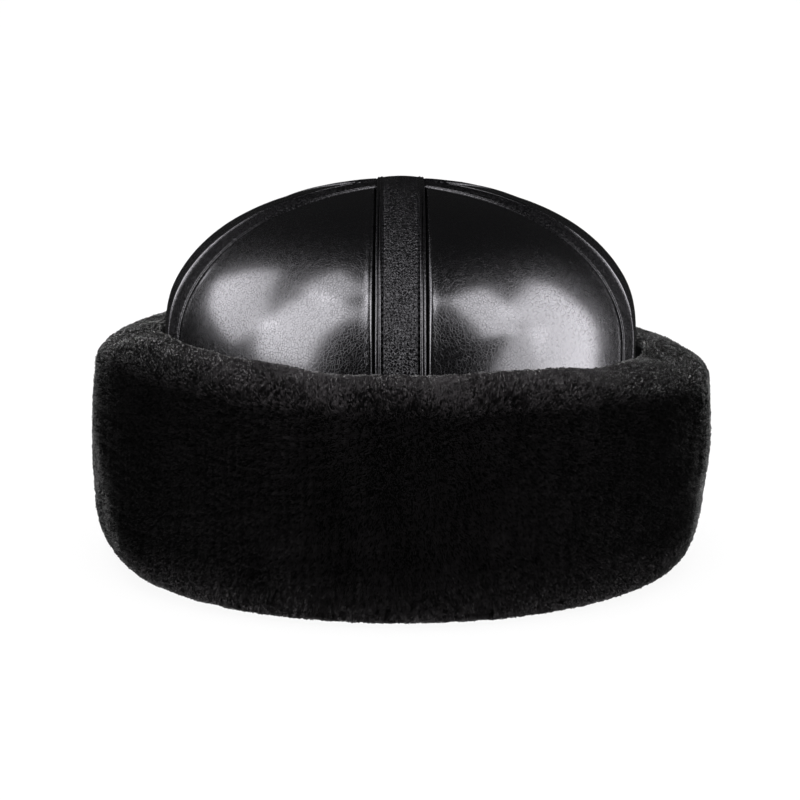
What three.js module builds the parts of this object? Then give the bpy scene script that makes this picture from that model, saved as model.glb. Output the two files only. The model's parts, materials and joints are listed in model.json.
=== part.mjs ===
import * as THREE from "three";

// Crown: a stitched leather dome on nearly upright walls, all sizes in millimetres.
// Angles round the hat start at the front centre (-Y) and grow toward the wearer's left (+X).
const CROWN_TOP = 153.6;
const CROWN_HALF_WIDTH = 98.2;
const CROWN_HALF_LENGTH = 113;
const DOME_RISE = 62;
const DOME_FULLNESS = 2.076;
const CROWN_FOOT = 3;
const FOOT_DRAW_IN = 5.5;
const LEATHER_WALL = 1.5;
const PANEL_PUFF = 1.1;
const SEAM_GAP = 0.5;
const TIP_RADIUS = 1.5;

// Straps: folded leather strips laid over every seam of the crown
const STRAP_WIDTH = 19.6;
const STRAP_BED = 1.6;
const STRAP_LIFT = 0.35;
const STRAP_SIDE_GAP = 0.35;
const PANEL_EDGE_RISE = 2.2;

// Fur cuff: one deep turned-up ring of sheared fur round the whole crown
const CUFF_HALF_WIDTH = 127.5;
const CUFF_HALF_LENGTH = 145;
const CUFF_SQUARENESS = 2.074;
const CUFF_BELLY = 1.7;
const CUFF_SIDE_LEAN = 0.7;
const RIM_HEIGHT = 90.3;
const RIM_ROLL_IN = 26;
const RIM_ROLL_DOWN = 12.8;
const RIM_INNER_DROP = 5;
const BOTTOM_ROLL_IN = 14.6;
const BOTTOM_ROLL_UP = 25.6;
const BOTTOM_INNER_EDGE = 3;
const CUFF_TO_CROWN = 1.3;
const LOCK_RELIEF = 0.55;

// Mesh steps
const DOME_ROWS = 12;
const WALL_ROWS = 3;
const PANEL_MIDDLE_STEPS = 3;
const CUFF_STEPS = 84;

// Seams of the crown, by name and angle in degrees
const SEAMS = {
  front: 0,
  front_left: -70,
  back_left: -125,
  back: 180,
  front_right: 70,
  back_right: 125,
};

// Panels of the crown: the seams on either side, in the order of growing angle
const PANELS = [
  { name: "panel_front_left", from: SEAMS.front_left, to: SEAMS.front },
  { name: "panel_front_right", from: SEAMS.front, to: SEAMS.front_right },
  { name: "panel_side_left", from: SEAMS.back_left, to: SEAMS.front_left },
  { name: "panel_side_right", from: SEAMS.front_right, to: SEAMS.back_right },
  { name: "panel_back_left", from: -SEAMS.back, to: SEAMS.back_left },
  { name: "panel_back_right", from: SEAMS.back_right, to: SEAMS.back },
];

// Side bands: the seam each one covers and the angles of the neighbours that it keeps clear of
const BANDS = [
  { name: "band_front_left", seam: SEAMS.front_left, before: SEAMS.back_left, after: null },
  { name: "band_front_right", seam: SEAMS.front_right, before: null, after: SEAMS.back_right },
  { name: "band_back_left", seam: SEAMS.back_left, before: null, after: SEAMS.front_left },
  { name: "band_back_right", seam: SEAMS.back_right, before: SEAMS.front_right, after: null },
];

// Section of a strap from edge to edge: place across it in half-widths, height above the crown
const STRAP_SECTION = [
  { across: -1, height: -0.1 },
  { across: -0.94, height: 0.5 },
  { across: -0.82, height: 0.62 },
  { across: -0.72, height: 0.12 },
  { across: -0.6, height: 0.45 },
  { across: 0, height: 0.55 },
  { across: 0.6, height: 0.45 },
  { across: 0.72, height: 0.12 },
  { across: 0.82, height: 0.62 },
  { across: 0.94, height: 0.5 },
  { across: 1, height: -0.1 },
];

// Waves of the fur rim's height round the hat, which stands higher at the left than at the right.
// Each has its size, how often it comes round, and the angle in degrees where it is at its top.
const RIM_WAVES = [
  { size: 5.4, around: 1, top: -48 },
  { size: 0.43, around: 3, top: 51 },
  { size: 0.49, around: 4, top: 31 },
  { size: 0.46, around: 5, top: 21 },
];

// Folds of the fur: how far the surface swells, how many swells go round, how they lean with height
const FUR_SWELLS = [
  { size: 0.6, around: 7, lean: 1.1, start: 0.4 },
  { size: 0.5, around: 12, lean: -1.7, start: 2.1 },
  { size: 0.45, around: 17, lean: 2.9, start: 4.0 },
];

const radians = THREE.MathUtils.degToRad;
const smooth = THREE.MathUtils.smoothstep;
const lerp = THREE.MathUtils.lerp;

// Crown surface: station 0 is the apex, 1 the widest level and 2 the foot
const WIDEST_LEVEL = CROWN_TOP - DOME_RISE;

function crownReach(station) {
  if (station <= 1) {
    return Math.sin((station * Math.PI) / 2) ** (2 / DOME_FULLNESS);
  }
  return 1 - (FOOT_DRAW_IN / CROWN_HALF_WIDTH) * smooth(station, 1, 2.4) / smooth(2, 1, 2.4);
}

function crownHeight(station) {
  if (station <= 1) {
    const rise = Math.max(Math.cos((station * Math.PI) / 2), 0);
    return WIDEST_LEVEL + DOME_RISE * rise ** (2 / DOME_FULLNESS);
  }
  return lerp(WIDEST_LEVEL, CROWN_FOOT, station - 1);
}

function crownSurface(angle, station) {
  const reach = crownReach(station);
  const x = CROWN_HALF_WIDTH * reach * Math.sin(angle);
  const y = -CROWN_HALF_LENGTH * reach * Math.cos(angle);
  return new THREE.Vector3(x, y, crownHeight(station));
}

function crownNormal(angle, station) {
  const at = Math.max(station, 0.01);
  const along = crownSurface(angle, Math.min(at + 0.004, 2)).sub(crownSurface(angle, at - 0.004));
  const across = crownSurface(angle + 0.004, at).sub(crownSurface(angle - 0.004, at));
  return along.cross(across).normalize();
}

function crownPoint(angle, station, lift) {
  return crownSurface(angle, station).addScaledVector(crownNormal(angle, station), lift);
}

function stationOfRadius(radius) {
  const reach = radius / CROWN_HALF_WIDTH;
  return (Math.asin(reach ** (DOME_FULLNESS / 2)) * 2) / Math.PI;
}

// Farthest that the crown stands off the upright plane of a seam, at one station
function seamReach(seam, station) {
  const side = CROWN_HALF_WIDTH * Math.sin(seam);
  const end = CROWN_HALF_LENGTH * Math.cos(seam);
  return (crownReach(station) * CROWN_HALF_WIDTH * CROWN_HALF_LENGTH) / Math.hypot(side, end);
}

// Turn from a seam to the line that runs beside it at a set distance
function turnBeside(distance, seam, station) {
  return Math.asin(Math.min(distance / seamReach(seam, station), 0.999));
}

function crownStations(firstRadius) {
  const first = stationOfRadius(firstRadius);
  const stations = [];
  for (let row = 0; row <= DOME_ROWS; row += 1) {
    const station = row / DOME_ROWS;
    if (station > first + 0.02) {
      stations.push(station);
    }
  }
  for (let row = 1; row <= WALL_ROWS; row += 1) {
    stations.push(1 + row / WALL_ROWS);
  }
  return [first, ...stations];
}

// Closed meshes from grids of points
function meshGeometry(points, triangles) {
  const geometry = new THREE.BufferGeometry();
  const values = points.flatMap((point) => [point.x, point.y, point.z]);
  geometry.setAttribute("position", new THREE.Float32BufferAttribute(values, 3));
  geometry.setIndex(triangles);
  geometry.computeVertexNormals();
  return geometry;
}

function volumeOf(points, triangles) {
  let volume = 0;
  const normal = new THREE.Vector3();
  for (let i = 0; i < triangles.length; i += 3) {
    const corners = [0, 1, 2].map((k) => points[triangles[i + k]]);
    volume += corners[0].dot(normal.copy(corners[1]).cross(corners[2]));
  }
  return volume / 6;
}

function facingOut(points, triangles) {
  if (volumeOf(points, triangles) < 0) {
    for (let i = 0; i < triangles.length; i += 3) {
      const corner = triangles[i + 1];
      triangles[i + 1] = triangles[i + 2];
      triangles[i + 2] = corner;
    }
  }
  return meshGeometry(points, triangles);
}

// Sections of equal count joined one after another, with capped ends or closed to a ring
function loftSections(sections, ring) {
  const count = sections[0].length;
  const points = sections.flat();
  const triangles = [];
  const joins = ring ? sections.length : sections.length - 1;
  for (let i = 0; i < joins; i += 1) {
    const next = (i + 1) % sections.length;
    for (let j = 0; j < count; j += 1) {
      const k = (j + 1) % count;
      const a = i * count + j;
      const b = i * count + k;
      const c = next * count + k;
      const d = next * count + j;
      triangles.push(a, b, c, a, c, d);
    }
  }
  if (!ring) {
    const last = (sections.length - 1) * count;
    const outline = sections.map((section) => flatOutline(section));
    const startCap = THREE.ShapeUtils.triangulateShape(outline[0], []);
    const endCap = THREE.ShapeUtils.triangulateShape(outline[outline.length - 1], []);
    const startTurn = THREE.ShapeUtils.isClockWise(outline[0]) ? 1 : -1;
    const endTurn = THREE.ShapeUtils.isClockWise(outline[outline.length - 1]) ? 1 : -1;
    startCap.forEach((cap) => triangles.push(...turned(cap, startTurn, true)));
    endCap.forEach((cap) => triangles.push(...turned(cap, endTurn, false).map((n) => n + last)));
  }
  return facingOut(points, triangles);
}

function turned(cap, turn, start) {
  const clockwise = turn > 0 ? start : !start;
  return clockwise ? [cap[0], cap[1], cap[2]] : [cap[2], cap[1], cap[0]];
}

// A section's outline in its own plane, for capping
function flatOutline(section) {
  const middle = section.reduce((sum, point) => sum.add(point), new THREE.Vector3());
  middle.divideScalar(section.length);
  const normal = new THREE.Vector3();
  section.forEach((point, i) => {
    const next = section[(i + 1) % section.length];
    normal.add(point.clone().sub(middle).cross(next.clone().sub(middle)));
  });
  normal.normalize();
  const across = section[0].clone().sub(middle).normalize();
  const up = normal.clone().cross(across);
  return section.map((point) => {
    const arm = point.clone().sub(middle);
    return new THREE.Vector2(arm.dot(across), arm.dot(up));
  });
}

// Materials
const panelLeather = { color: 0x17171a, roughness: 0.3, metalness: 0 };
const strapLeather = { color: 0x151517, roughness: 0.42, metalness: 0 };
const cuffFur = { color: 0x0c0c0e, roughness: 0.95, metalness: 0 };

function namedMesh(name, geometry, look) {
  const mesh = new THREE.Mesh(geometry, new THREE.MeshStandardMaterial(look));
  mesh.name = name;
  return mesh;
}

// Panels: each is a curved leather wall whose long edges step down into a bed under the straps
function panelStops(half) {
  const edge = STRAP_WIDTH / 2;
  const fixed = [SEAM_GAP / 2, edge + 0.2, edge + 1.1, edge + 0.2 + PANEL_EDGE_RISE];
  const full = fixed[3] + 1.6;
  const stops = [...fixed];
  const reach = Math.max(half, full);
  for (let i = 1; i < PANEL_MIDDLE_STEPS; i += 1) {
    stops.push(lerp(fixed[3], reach, i / PANEL_MIDDLE_STEPS));
  }
  const squeeze = Math.min(half / full, 1);
  return stops.map((stop, i) => (i === 0 ? Math.min(stop, half * 0.45) : stop * squeeze));
}

function panelAngles(from, to, station) {
  const middle = (from + to) / 2;
  const halfTurn = Math.sin(middle - from);
  const leftStops = panelStops(halfTurn * seamReach(from, station));
  const rightStops = panelStops(halfTurn * seamReach(to, station));
  const left = leftStops.map((stop) => from + turnBeside(stop, from, station));
  const right = rightStops.map((stop) => to - turnBeside(stop, to, station));
  return [...left, middle, ...right.reverse()];
}

function panelLift(from, to, angle, station) {
  const toFrom = Math.sin(angle - from) * seamReach(from, station);
  const toTo = Math.sin(to - angle) * seamReach(to, station);
  const edge = STRAP_WIDTH / 2 + 0.2;
  const gathered = smooth(station, 2 / DOME_ROWS, 3 / DOME_ROWS);
  const rise = gathered * smooth(Math.min(toFrom, toTo), edge, edge + PANEL_EDGE_RISE);
  const place = (angle - from) / (to - from);
  const swell = Math.sin(Math.PI * place) * smooth(station, 0.15, 0.6) * (1 - smooth(station, 0.8, 1));
  return -STRAP_BED * (1 - rise) + PANEL_PUFF * swell * rise;
}

function buildPanel(panel) {
  const from = radians(panel.from);
  const to = radians(panel.to);
  const sections = crownStations(TIP_RADIUS).map((station) => {
    const angles = panelAngles(from, to, station);
    const lifts = angles.map((angle) => panelLift(from, to, angle, station));
    const outer = angles.map((angle, i) => crownPoint(angle, station, lifts[i]));
    const inner = angles.map((angle, i) => crownPoint(angle, station, lifts[i] - LEATHER_WALL));
    return [...outer, ...inner.reverse()];
  });
  return namedMesh(panel.name, panelWall(sections), panelLeather);
}

// A wall of two faces: each section runs out along one face and back along the other
function panelWall(sections) {
  const count = sections[0].length;
  const half = count / 2;
  const points = sections.flat();
  const triangles = [];
  for (let i = 0; i < sections.length - 1; i += 1) {
    for (let j = 0; j < count; j += 1) {
      const k = (j + 1) % count;
      const a = i * count + j;
      const b = i * count + k;
      triangles.push(a, b, b + count, a, b + count, a + count);
    }
  }
  const last = (sections.length - 1) * count;
  for (let j = 0; j < half - 1; j += 1) {
    const far = count - 1 - j;
    triangles.push(j, far, far - 1, j, far - 1, j + 1);
    triangles.push(last + j, last + far - 1, last + far, last + j, last + j + 1, last + far - 1);
  }
  return facingOut(points, triangles);
}

// Centre strap: one strip from the front edge over the apex to the back edge
function strapRows() {
  const stations = crownStations(CROWN_HALF_WIDTH * crownReach(1 / DOME_ROWS));
  const front = stations.map((station) => ({ angle: 0, station })).reverse();
  const back = stations.map((station) => ({ angle: Math.PI, station }));
  return [...front, { angle: 0, station: 0 }, ...back];
}

function strapSection(row) {
  const normal = row.station === 0 ? new THREE.Vector3(0, 0, 1) : crownNormal(row.angle, row.station);
  const base = crownSurface(row.angle, row.station);
  const bend = lerp(CROWN_HALF_WIDTH ** 2 / DOME_RISE, CROWN_HALF_WIDTH ** 2 / CROWN_HALF_LENGTH,
    Math.min(row.station, 1));
  const half = STRAP_WIDTH / 2;
  const under = STRAP_LIFT - STRAP_BED;
  const below = [0.96, 0, -0.96].map((across) => ({ across, height: under }));
  return [...STRAP_SECTION, ...below].map(({ across, height }) => {
    const x = across * half;
    const sag = (x * x) / (2 * bend);
    const point = base.clone().addScaledVector(normal, height - sag);
    point.x += x;
    return point;
  });
}

// Side bands: like the strap, and narrowed where they run together beside it at the apex
function bandSection(band, station) {
  const seam = radians(band.seam);
  const half = STRAP_WIDTH / 2;
  const turn = turnBeside(half, seam, station);
  const edge = half + STRAP_SIDE_GAP;
  const strapAngle = Math.asin(Math.min(edge / (CROWN_HALF_WIDTH * crownReach(station)), 0.999));
  const side = Math.sign(seam);
  const turnedBack = Math.abs(seam) > Math.PI / 2;
  const strapSide = side * (turnedBack ? Math.PI - strapAngle : strapAngle);
  const neighbour = radians(band.before === null ? band.after : band.before);
  const meeting = (seam + neighbour) / 2;
  const meetingGap = turnBeside(STRAP_SIDE_GAP / 2, meeting, station) * Math.sign(seam - meeting);
  const limits = [strapSide, meeting + meetingGap];
  const lowLimit = Math.min(...limits);
  const highLimit = Math.max(...limits);
  const low = Math.max(seam - turn, lowLimit);
  const high = Math.min(seam + turn, highLimit);
  const under = STRAP_LIFT - STRAP_BED;
  const below = [0.96, 0, -0.96].map((across) => ({ across, height: under }));
  return [...STRAP_SECTION, ...below].map(({ across, height }) => {
    const angle = lerp(low, high, (across + 1) / 2);
    return crownPoint(angle, station, height);
  });
}

function buildBand(band) {
  const start = (STRAP_WIDTH / 2 + STRAP_SIDE_GAP) / Math.sin(radians(Math.abs(band.seam)));
  const sections = crownStations(start + 2).map((station) => bandSection(band, station));
  return namedMesh(band.name, loftSections(sections, false), strapLeather);
}

// Fur cuff: a closed ring whose section is worked out at each angle
function rimHeight(angle) {
  let height = RIM_HEIGHT;
  RIM_WAVES.forEach(({ size, around, top }) => {
    height += size * Math.cos(around * (angle - radians(top)));
  });
  return height;
}

function furSwell(angle, level) {
  let swell = 0;
  FUR_SWELLS.forEach(({ size, around, lean, start }) => {
    swell += size * Math.sin(around * angle + lean * level + start);
  });
  return LOCK_RELIEF * swell;
}

function cuffOuter(angle, inset, height) {
  const power = 2 / CUFF_SQUARENESS;
  const sine = Math.sin(angle);
  const cosine = Math.cos(angle);
  const x = (CUFF_HALF_WIDTH - inset) * Math.sign(sine) * Math.abs(sine) ** power;
  const y = -(CUFF_HALF_LENGTH - inset) * Math.sign(cosine) * Math.abs(cosine) ** power;
  return new THREE.Vector3(x, y, height);
}

function cuffInner(angle, height, gap) {
  const station = 1 + (WIDEST_LEVEL - Math.min(height, WIDEST_LEVEL)) / (WIDEST_LEVEL - CROWN_FOOT);
  const reach = crownReach(Math.min(station, 2));
  const x = (CROWN_HALF_WIDTH * reach + gap) * Math.sin(angle);
  const y = -(CROWN_HALF_LENGTH * reach + gap) * Math.cos(angle);
  return new THREE.Vector3(x, y, height);
}

function cuffSection(angle) {
  const top = rimHeight(angle);
  const shoulder = top - RIM_ROLL_DOWN;
  const section = [];
  [0, 0.25, 0.5, 0.75, 1].forEach((part) => {
    const turn = (part * Math.PI) / 2;
    const inset = BOTTOM_ROLL_IN * (1 - Math.sin(turn));
    const height = BOTTOM_ROLL_UP * (1 - Math.cos(turn));
    section.push(cuffOuter(angle, inset - furSwell(angle, part) * smooth(part, 0, 0.5), height));
  });
  [0.25, 0.5, 0.75].forEach((part) => {
    const height = lerp(BOTTOM_ROLL_UP, shoulder, part);
    const bulge = CUFF_BELLY * Math.sin(Math.PI * part) + furSwell(angle, 1 + 2 * part);
    section.push(cuffOuter(angle, -bulge, height));
  });
  [0, 0.22, 0.44, 0.66, 0.84, 1].forEach((part) => {
    const turn = (part * Math.PI) / 2;
    const swell = furSwell(angle, 3 + part);
    const inset = RIM_ROLL_IN * (1 - Math.cos(turn)) - swell * Math.cos(turn);
    section.push(cuffOuter(angle, inset, shoulder + (RIM_ROLL_DOWN + swell) * Math.sin(turn)));
  });
  section.push(cuffInner(angle, top - RIM_INNER_DROP, CUFF_TO_CROWN));
  [0.66, 0.33].forEach((part) => {
    section.push(cuffInner(angle, lerp(CROWN_FOOT, top - RIM_INNER_DROP, part), CUFF_TO_CROWN));
  });
  section.push(cuffInner(angle, BOTTOM_INNER_EDGE, CUFF_TO_CROWN));
  section.push(cuffInner(angle, 0, CUFF_TO_CROWN + BOTTOM_INNER_EDGE));
  section.forEach((point, i) => {
    const outer = i > 0 && i < 13;
    point.x += outer ? CUFF_SIDE_LEAN * (point.z / 45 - 1) * smooth(point.z, 0, 12) : 0;
  });
  return section;
}

function buildCuff() {
  const sections = [];
  for (let step = 0; step < CUFF_STEPS; step += 1) {
    sections.push(cuffSection(-Math.PI + (2 * Math.PI * (step + 0.5)) / CUFF_STEPS));
  }
  return namedMesh("cuff_fur", loftSections(sections, true), cuffFur);
}

// The hat, stood on the cuff's flat underside with its middle over the origin
const hat = new THREE.Group();
const pieces = new THREE.Group();
PANELS.forEach((panel) => pieces.add(buildPanel(panel)));
pieces.add(namedMesh("center_strap", loftSections(strapRows().map(strapSection), false), strapLeather));
BANDS.forEach((band) => pieces.add(buildBand(band)));
pieces.add(buildCuff());

const bounds = new THREE.Box3().setFromObject(pieces);
const middle = bounds.getCenter(new THREE.Vector3());
pieces.position.set(-middle.x, -middle.y, -bounds.min.z);
hat.add(pieces);

export default hat;
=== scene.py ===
import json
import math
from functools import partial
import bpy
import bmesh
import numpy as np
from mathutils import Matrix, Vector, noise

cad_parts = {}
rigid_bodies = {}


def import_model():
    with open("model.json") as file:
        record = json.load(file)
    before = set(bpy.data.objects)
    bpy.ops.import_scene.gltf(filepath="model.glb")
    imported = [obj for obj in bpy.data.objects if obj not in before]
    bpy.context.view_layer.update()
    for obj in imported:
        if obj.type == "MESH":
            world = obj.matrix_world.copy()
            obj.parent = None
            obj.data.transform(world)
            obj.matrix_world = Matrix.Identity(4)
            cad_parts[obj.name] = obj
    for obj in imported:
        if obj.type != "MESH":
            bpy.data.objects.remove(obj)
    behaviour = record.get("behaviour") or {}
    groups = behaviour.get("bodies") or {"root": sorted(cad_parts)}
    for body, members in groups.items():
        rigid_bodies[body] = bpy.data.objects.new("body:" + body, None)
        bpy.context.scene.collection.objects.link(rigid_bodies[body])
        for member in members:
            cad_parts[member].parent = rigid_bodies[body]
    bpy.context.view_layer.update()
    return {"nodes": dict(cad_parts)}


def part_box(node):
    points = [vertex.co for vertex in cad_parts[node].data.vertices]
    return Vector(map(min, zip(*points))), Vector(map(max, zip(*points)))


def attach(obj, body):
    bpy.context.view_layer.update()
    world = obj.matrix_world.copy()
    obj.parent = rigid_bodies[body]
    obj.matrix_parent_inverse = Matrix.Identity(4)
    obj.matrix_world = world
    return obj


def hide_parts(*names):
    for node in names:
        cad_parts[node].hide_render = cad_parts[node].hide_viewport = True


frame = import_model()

scene = bpy.context.scene

# The crown's six panels: glossy black nappa leather, 1.5 mm thick, cut as gores and sewn edge to
# edge into a dome. Their long edges step down under the straps and roll over beside them, and the
# leather is drawn a little uneven along the stitching.
MM = 0.001
CROWN_TOP = 153.6 * MM
CROWN_HALF_WIDTH = 98.2 * MM
CROWN_HALF_LENGTH = 113.0 * MM
DOME_RISE = 62.0 * MM
DOME_FULLNESS = 2.076
CROWN_FOOT = 3.0 * MM
FOOT_DRAW_IN = 5.5 * MM
WIDEST_LEVEL = CROWN_TOP - DOME_RISE
LEATHER_WALL = 1.5 * MM
PANEL_PUFF = 1.1
SEAM_GAP = 0.5 * MM
DOME_SEGMENTS = 180
DOME_RINGS = 96
WALL_STEPS = 6
SEAMS = {"front": 0.0, "front_left": -70.0, "back_left": -125.0, "back": 180.0,
         "front_right": 70.0, "back_right": 125.0}
PANELS = {
    "front_left": ("front_left", "front"),
    "front_right": ("front", "front_right"),
    "side_left": ("back_left", "front_left"),
    "side_right": ("front_right", "back_right"),
    "back_left": ("back", "back_left"),
    "back_right": ("back_right", "back"),
}
# How the panel lies beside a seam: distance from the seam and height over the crown, in mm
PANEL_EDGE = {
    "from_seam": (0.0, 9.9, 10.25, 10.55, 10.85, 11.2, 11.6, 12.1, 12.8, 14.0, 17.0, 22.0),
    "height": (-1.6, -1.6, -1.35, -0.85, -0.35, 0.02, 0.18, 0.2, 0.1, -0.02, -0.05, 0.0),
}
# The leather's unevenness, as height in mm and distance from swell to swell: broad hollows, small
# ripples, and puckers that fade away from the stitching
PANEL_HOLLOWS = (0.14, 30.0 * MM)
PANEL_RIPPLES = (0.03, 11.0 * MM)
PANEL_PUCKERS = (0.16, 5.5 * MM)
# In mm from the seam: where the leather comes out from under the strap, where the puckers begin,
# from where they fade and how soon
PANEL_OPEN = (10.0, 12.2)
PUCKERS_BEGIN = (10.2, 11.4)
PUCKERS_FULL, PUCKERS_FADE = 11.0, 4.0
strap_low, strap_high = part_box("center_strap")
strap_middle = (np.array(strap_low) + np.array(strap_high)) / 2
CROWN_SHIFT = np.array([strap_middle[0], strap_middle[1], 0.0])


def smooth_rise(value, start, end):
    part = np.clip((value - start) / (end - start), 0.0, 1.0)
    return part * part * (3.0 - 2.0 * part)


def unit(vectors):
    return vectors / np.linalg.norm(vectors, axis=-1, keepdims=True)


def crown_reach(station):
    dome = np.sin(np.clip(station, 0.0, 1.0) * math.pi / 2) ** (2 / DOME_FULLNESS)
    draw = FOOT_DRAW_IN / CROWN_HALF_WIDTH / smooth_rise(2.0, 1.0, 2.4)
    return dome - draw * smooth_rise(station, 1.0, 2.4)


def crown_surface(turn, station):
    turn, station = np.broadcast_arrays(np.asarray(turn, float), np.asarray(station, float))
    reach = crown_reach(station)
    rise = np.clip(np.cos(np.clip(station, 0.0, 1.0) * math.pi / 2), 0.0, 1.0)
    dome = WIDEST_LEVEL + DOME_RISE * rise ** (2 / DOME_FULLNESS)
    wall = WIDEST_LEVEL + (CROWN_FOOT - WIDEST_LEVEL) * (station - 1.0)
    height = np.where(station <= 1.0, dome, wall)
    across = CROWN_HALF_WIDTH * reach * np.sin(turn)
    along = -CROWN_HALF_LENGTH * reach * np.cos(turn)
    return np.stack([across, along, height], -1) + CROWN_SHIFT


def crown_normal(turn, station):
    at = np.clip(station, 0.01, 1.995)
    step = 0.004
    down = crown_surface(turn, at + step) - crown_surface(turn, at - step)
    round_it = crown_surface(turn + step, at) - crown_surface(turn - step, at)
    return unit(np.cross(down, round_it))


def seam_reach(seam, station):
    side = CROWN_HALF_WIDTH * math.sin(seam)
    end = CROWN_HALF_LENGTH * math.cos(seam)
    return crown_reach(station) * CROWN_HALF_WIDTH * CROWN_HALF_LENGTH / math.hypot(side, end)


def seam_normal(seam):
    """Level direction square to the upright plane of a seam, pointing to growing angles."""
    across, along = CROWN_HALF_LENGTH * math.cos(seam), CROWN_HALF_WIDTH * math.sin(seam)
    return unit(np.array([across, along, 0.0]))


def places_of(piece, what="co"):
    """The places of a piece's points, or their normals."""
    values = np.empty(len(piece.data.vertices) * 3)
    piece.data.vertices.foreach_get(what, values)
    return values.reshape(-1, 3)


def put_places(piece, places):
    piece.data.vertices.foreach_set("co", np.ascontiguousarray(places).ravel())
    piece.data.update()


def only_active(piece):
    bpy.ops.object.select_all(action="DESELECT")
    piece.select_set(True)
    bpy.context.view_layer.objects.active = piece


def shape_with(piece, name, kind, **settings):
    """Adds a modifier to a piece and applies it."""
    modifier = piece.modifiers.new(name, kind)
    for key, value in settings.items():
        setattr(modifier, key, value)
    only_active(piece)
    bpy.ops.object.modifier_apply(modifier=name)


def crown_turn_and_station(places):
    flat = places - CROWN_SHIFT
    turn = np.arctan2(flat[:, 0] / CROWN_HALF_WIDTH, -flat[:, 1] / CROWN_HALF_LENGTH)
    reach = np.hypot(flat[:, 0] / CROWN_HALF_WIDTH, flat[:, 1] / CROWN_HALF_LENGTH)
    rise = np.clip((flat[:, 2] - WIDEST_LEVEL) / DOME_RISE, 0.0, 1.0)
    by_reach = np.arcsin(np.clip(reach, 0, 1) ** (DOME_FULLNESS / 2))
    by_rise = np.arccos(rise ** (DOME_FULLNESS / 2))
    dome = np.where(by_reach < math.pi / 4, by_reach, by_rise) * 2 / math.pi
    wall = 1.0 + (WIDEST_LEVEL - flat[:, 2]) / (WIDEST_LEVEL - CROWN_FOOT)
    return turn, np.where(flat[:, 2] >= WIDEST_LEVEL - 1e-6, dome, wall)


def uneven(places, swells, seed):
    """Smooth unevenness of the leather, from the height and size of its swells."""
    height, size = swells
    shift = Vector((seed * 3.1, seed * 1.7, seed * 2.3))
    return height * np.array([noise.noise(Vector(place) / size + shift) for place in places])


def add_dome():
    bpy.ops.mesh.primitive_uv_sphere_add(segments=DOME_SEGMENTS, ring_count=DOME_RINGS, radius=1.0)
    dome = bpy.context.active_object
    bpy.ops.object.mode_set(mode="EDIT")
    bpy.ops.mesh.select_mode(type="VERT")
    bpy.ops.mesh.select_all(action="DESELECT")
    form = bmesh.from_edit_mesh(dome.data)
    for vertex in form.verts:
        vertex.select = vertex.co.z < -1e-4
    form.select_flush(True)
    bpy.ops.mesh.delete(type="VERT")
    bpy.ops.mesh.select_mode(type="EDGE")
    bpy.ops.mesh.select_non_manifold(extend=False)
    for step in range(WALL_STEPS):
        bpy.ops.mesh.extrude_region_move(
            TRANSFORM_OT_translate={"value": (0.0, 0.0, -1.0 / WALL_STEPS)})
    bpy.ops.object.mode_set(mode="OBJECT")
    places = places_of(dome)
    turn = np.arctan2(places[:, 0], -places[:, 1])
    polar = np.arccos(np.clip(places[:, 2], 0.0, 1.0)) * 2 / math.pi
    station = np.where(places[:, 2] < -1e-4, 1.0 - places[:, 2], polar)
    put_places(dome, crown_surface(turn, station))
    return dome


def cut_gore(dome, start, end):
    """A copy of the dome between two seams, with loops beside each seam where the edge rolls."""
    gore = dome.copy()
    gore.data = dome.data.copy()
    scene.collection.objects.link(gore)
    only_active(gore)
    bpy.ops.object.mode_set(mode="EDIT")
    for seam, way in ((start, 1.0), (end, -1.0)):
        normal = seam_normal(seam) * way
        cuts = [SEAM_GAP / 2] + [mm * MM for mm in PANEL_EDGE["from_seam"][1:11]]
        for number, distance in enumerate(cuts):
            bpy.ops.mesh.select_all(action="SELECT")
            bpy.ops.mesh.bisect(plane_co=tuple(CROWN_SHIFT + normal * distance),
                                plane_no=tuple(normal), clear_inner=number == 0)
    bpy.ops.object.mode_set(mode="OBJECT")
    return gore


def lay_panel(gore, start, end, seed):
    places = places_of(gore)
    turn, station = crown_turn_and_station(places)
    middle = (start + end) / 2
    turn = middle + (turn - middle + math.pi) % (2 * math.pi) - math.pi
    to_start = (places - CROWN_SHIFT) @ seam_normal(start) / MM
    to_end = -(places - CROWN_SHIFT) @ seam_normal(end) / MM
    beside = np.minimum(to_start, to_end)
    lift = np.interp(beside, PANEL_EDGE["from_seam"], PANEL_EDGE["height"])
    open_part = smooth_rise(beside, *PANEL_OPEN)
    across = (turn - start) / (end - start)
    swell = np.sin(math.pi * across) * smooth_rise(station, 0.15, 0.6)
    swell *= 1.0 - smooth_rise(station, 0.8, 1.0)
    lift += PANEL_PUFF * swell * open_part
    lift += open_part * uneven(places, PANEL_HOLLOWS, seed)
    lift += open_part * uneven(places, PANEL_RIPPLES, seed + 5)
    near_stitches = smooth_rise(beside, *PUCKERS_BEGIN)
    near_stitches *= np.exp(-(np.maximum(beside, PUCKERS_FULL) - PUCKERS_FULL) / PUCKERS_FADE)
    lift += near_stitches * uneven(places, PANEL_PUCKERS, seed + 9)
    put_places(gore, places + crown_normal(turn, station) * (lift * MM)[:, None])


def wall_inward(piece, thickness):
    shape_with(piece, "leather wall", "SOLIDIFY", thickness=thickness, offset=-1.0)
    bpy.ops.object.shade_smooth_by_angle(angle=math.radians(50))


def add_node(tree, kind, **settings):
    node = tree.nodes.new("ShaderNode" + kind)
    for key, value in settings.items():
        if hasattr(node, key):
            setattr(node, key, value)
        else:
            node.inputs[key.replace("_", " ").title()].default_value = value
    return node


def add_math(tree, operation, first, second):
    node = tree.nodes.new("ShaderNodeMath")
    node.operation = operation
    for socket, value in zip(node.inputs, (first, second)):
        if isinstance(value, (int, float)):
            socket.default_value = value
        else:
            tree.links.new(value, socket)
    return node.outputs[0]


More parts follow.
